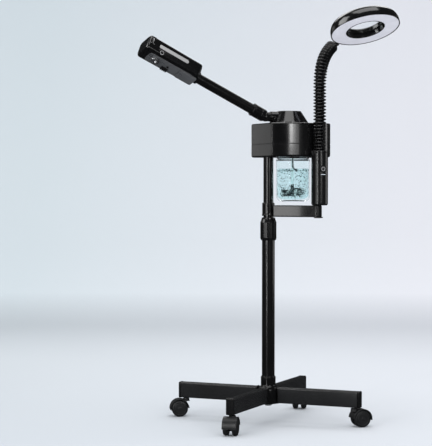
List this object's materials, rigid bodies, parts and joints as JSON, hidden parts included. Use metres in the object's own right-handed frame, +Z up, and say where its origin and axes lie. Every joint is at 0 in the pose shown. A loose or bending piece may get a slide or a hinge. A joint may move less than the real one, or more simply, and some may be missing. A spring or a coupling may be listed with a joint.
{
  "type": "facial steamer",
  "caption": "Facial steamer on a rolling four-leg stand, with a glass boiler jar, a swinging steam arm with a turning nozzle, and a ring lamp on a gooseneck.",
  "frame": {"origin": "the middle of the object's bounding box, at floor level", "axes": "+Z up, -Y towards the head's front, +X along the housing from the column to the lamp post"},
  "size_m": [0.616, 0.4364, 1.0252],
  "materials": {
    "black_powder_coat": "satin powder coat",
    "gloss_black": "gloss moulded",
    "satin_black": "satin moulded",
    "wheel_plastic": "matte moulded",
    "neck_rubber": "ribbed matte",
    "grey_plastic": "semi-gloss",
    "stainless_steel": "brushed",
    "zinc_steel": "zinc plated",
    "nylon": "matte",
    "clear_glass": "clear polished",
    "opal_diffuser": "translucent satin",
    "circuit_board": "solder mask"
  },
  "bodies": {
    "base": {"base_hub": "black_powder_coat", "hub_bolt": "zinc_steel", "leg_right": "black_powder_coat", "leg_front": "black_powder_coat", "leg_left": "black_powder_coat", "leg_back": "black_powder_coat", "leg_cap_right": "satin_black", "leg_cap_front": "satin_black", "leg_cap_left": "satin_black", "leg_cap_back": "satin_black", "lower_tube": "black_powder_coat", "glide_bush": "nylon"},
    "lock_collar": {"lock_collar": "satin_black"},
    "column_glide": {"tube_foot": "nylon"},
    "head": {"upper_tube": "black_powder_coat", "bracket_sleeve": "black_powder_coat", "bottom_bracket": "black_powder_coat", "lamp_post": "satin_black", "lamp_post_cap": "satin_black", "housing_lower": "gloss_black", "housing_upper": "gloss_black", "top_dome": "gloss_black", "mains_inlet": "satin_black", "control_board": "circuit_board", "ozone_lamp": "clear_glass", "heater_flange": "stainless_steel", "heater_coil": "stainless_steel", "level_probe": "stainless_steel"},
    "power_button": {"power_button": "grey_plastic"},
    "jar_ring": {"jar_ring": "satin_black"},
    "jar": {"jar": "clear_glass"},
    "arm": {"arm_elbow": "gloss_black", "arm_nut": "gloss_black", "arm_tube": "black_powder_coat", "arm_collar": "satin_black"},
    "nozzle": {"nozzle_shell": "gloss_black", "nozzle_base": "grey_plastic"},
    "spout_ring": {"spout_ring": "satin_black"},
    "neck_lower": {"gooseneck_lower": "neck_rubber"},
    "neck_upper": {"gooseneck_upper": "neck_rubber"},
    "lamp": {"lamp_housing": "gloss_black", "lamp_diffuser": "opal_diffuser", "led_board": "circuit_board", "lamp_lens": "clear_glass"},
    "caster_right": {"caster_fork_right": "wheel_plastic", "caster_axle_right": "zinc_steel"},
    "wheel_right_a": {"wheel_right_a": "wheel_plastic"},
    "wheel_right_b": {"wheel_right_b": "wheel_plastic"},
    "caster_front": {"caster_fork_front": "wheel_plastic", "caster_axle_front": "zinc_steel"},
    "wheel_front_a": {"wheel_front_a": "wheel_plastic"},
    "wheel_front_b": {"wheel_front_b": "wheel_plastic"},
    "caster_left": {"caster_fork_left": "wheel_plastic", "caster_axle_left": "zinc_steel"},
    "wheel_left_a": {"wheel_left_a": "wheel_plastic"},
    "wheel_left_b": {"wheel_left_b": "wheel_plastic"},
    "caster_back": {"caster_fork_back": "wheel_plastic", "caster_axle_back": "zinc_steel"},
    "wheel_back_a": {"wheel_back_a": "wheel_plastic"},
    "wheel_back_b": {"wheel_back_b": "wheel_plastic"}
  },
  "joints": [
    {"name": "caster_right_swivel", "type": "hinge", "parent": "base", "child": "caster_right", "pos_m": [0.18927, -0.14735, 0.045], "axis": [0, 0, 1], "continuous": true},
    {"name": "wheel_right_a_spin", "type": "hinge", "parent": "caster_right", "child": "wheel_right_a", "pos_m": [0.20626, -0.14794, 0.02079], "axis": [0.0349, 0.9994, 0], "continuous": true},
    {"name": "wheel_right_b_spin", "type": "hinge", "parent": "caster_right", "child": "wheel_right_b", "pos_m": [0.20626, -0.14794, 0.02079], "axis": [0.0349, 0.9994, 0], "continuous": true},
    {"name": "caster_front_swivel", "type": "hinge", "parent": "base", "child": "caster_front", "pos_m": [-0.13176, -0.14735, 0.045], "axis": [0, 0, 1], "continuous": true},
    {"name": "wheel_front_a_spin", "type": "hinge", "parent": "caster_front", "child": "wheel_front_a", "pos_m": [-0.14127, -0.16144, 0.02079], "axis": [0.829, -0.5592, 0], "continuous": true},
    {"name": "wheel_front_b_spin", "type": "hinge", "parent": "caster_front", "child": "wheel_front_b", "pos_m": [-0.14127, -0.16144, 0.02079], "axis": [0.829, -0.5592, 0], "continuous": true},
    {"name": "caster_left_swivel", "type": "hinge", "parent": "base", "child": "caster_left", "pos_m": [-0.13176, 0.17368, 0.045], "axis": [0, 0, 1], "continuous": true},
    {"name": "wheel_left_a_spin", "type": "hinge", "parent": "caster_left", "child": "wheel_left_a", "pos_m": [-0.14818, 0.17808, 0.02079], "axis": [-0.2588, -0.9659, 0], "continuous": true},
    {"name": "wheel_left_b_spin", "type": "hinge", "parent": "caster_left", "child": "wheel_left_b", "pos_m": [-0.14818, 0.17808, 0.02079], "axis": [-0.2588, -0.9659, 0], "continuous": true},
    {"name": "caster_back_swivel", "type": "hinge", "parent": "base", "child": "caster_back", "pos_m": [0.18927, 0.17368, 0.045], "axis": [0, 0, 1], "continuous": true},
    {"name": "wheel_back_a_spin", "type": "hinge", "parent": "caster_back", "child": "wheel_back_a", "pos_m": [0.19367, 0.1901, 0.02079], "axis": [-0.9659, 0.2588, 0], "continuous": true},
    {"name": "wheel_back_b_spin", "type": "hinge", "parent": "caster_back", "child": "wheel_back_b", "pos_m": [0.19367, 0.1901, 0.02079], "axis": [-0.9659, 0.2588, 0], "continuous": true},
    {"name": "lock_collar_turn", "type": "hinge", "parent": "base", "child": "lock_collar", "pos_m": [0.02875, 0.01317, 0.483], "axis": [0, 0, 1], "range_deg": [0, 120]},
    {"name": "height_slide", "type": "slide", "parent": "base", "child": "column_glide", "axis": [0, 0, 1], "range_m": [0, 0.25]},
    {"name": "head_swivel", "type": "hinge", "parent": "column_glide", "child": "head", "pos_m": [0.02875, 0.01317, 0.3], "axis": [0, 0, 1], "range_deg": [-180, 180]},
    {"name": "power_button_press", "type": "slide", "parent": "head", "child": "power_button", "axis": [0, 1, 0], "range_m": [0, 0.0015]},
    {"name": "jar_ring_turn", "type": "hinge", "parent": "head", "child": "jar_ring", "pos_m": [0.09575, 0.01317, 0.662], "axis": [0, 0, 1], "range_deg": [-45, 0]},
    {"name": "jar_drop", "type": "slide", "parent": "jar_ring", "child": "jar", "axis": [0, 0, -1], "range_m": [0, 0.008]},
    {"name": "arm_swing", "type": "hinge", "parent": "head", "child": "arm", "pos_m": [0.02025, 0.01317, 0.7627], "axis": [-1, 0, 0], "range_deg": [-90, 90]},
    {"name": "nozzle_turn", "type": "hinge", "parent": "arm", "child": "nozzle", "pos_m": [-0.16418, 0.01317, 0.85668], "axis": [-0.891, 0, 0.454], "range_deg": [-90, 90]},
    {"name": "spout_ring_turn", "type": "hinge", "parent": "nozzle", "child": "spout_ring", "pos_m": [-0.27196, 0.00765, 0.89627], "axis": [0.4209, 0.3746, 0.8261], "range_deg": [-90, 90]},
    {"name": "neck_base_bend", "type": "hinge", "parent": "head", "child": "neck_lower", "pos_m": [0.12475, -0.08333, 0.6924], "axis": [-0.5073, 0.8618, 0], "range_deg": [-12, 12]},
    {"name": "neck_middle_bend", "type": "hinge", "parent": "neck_lower", "child": "neck_upper", "pos_m": [0.12475, -0.08333, 0.81], "axis": [-0.5073, 0.8618, 0], "range_deg": [-15, 20]},
    {"name": "lamp_tilt", "type": "hinge", "parent": "neck_upper", "child": "lamp", "pos_m": [0.18675, -0.04683, 0.9465], "axis": [-0.5073, 0.8618, 0], "range_deg": [-20, 25]}
  ]
}
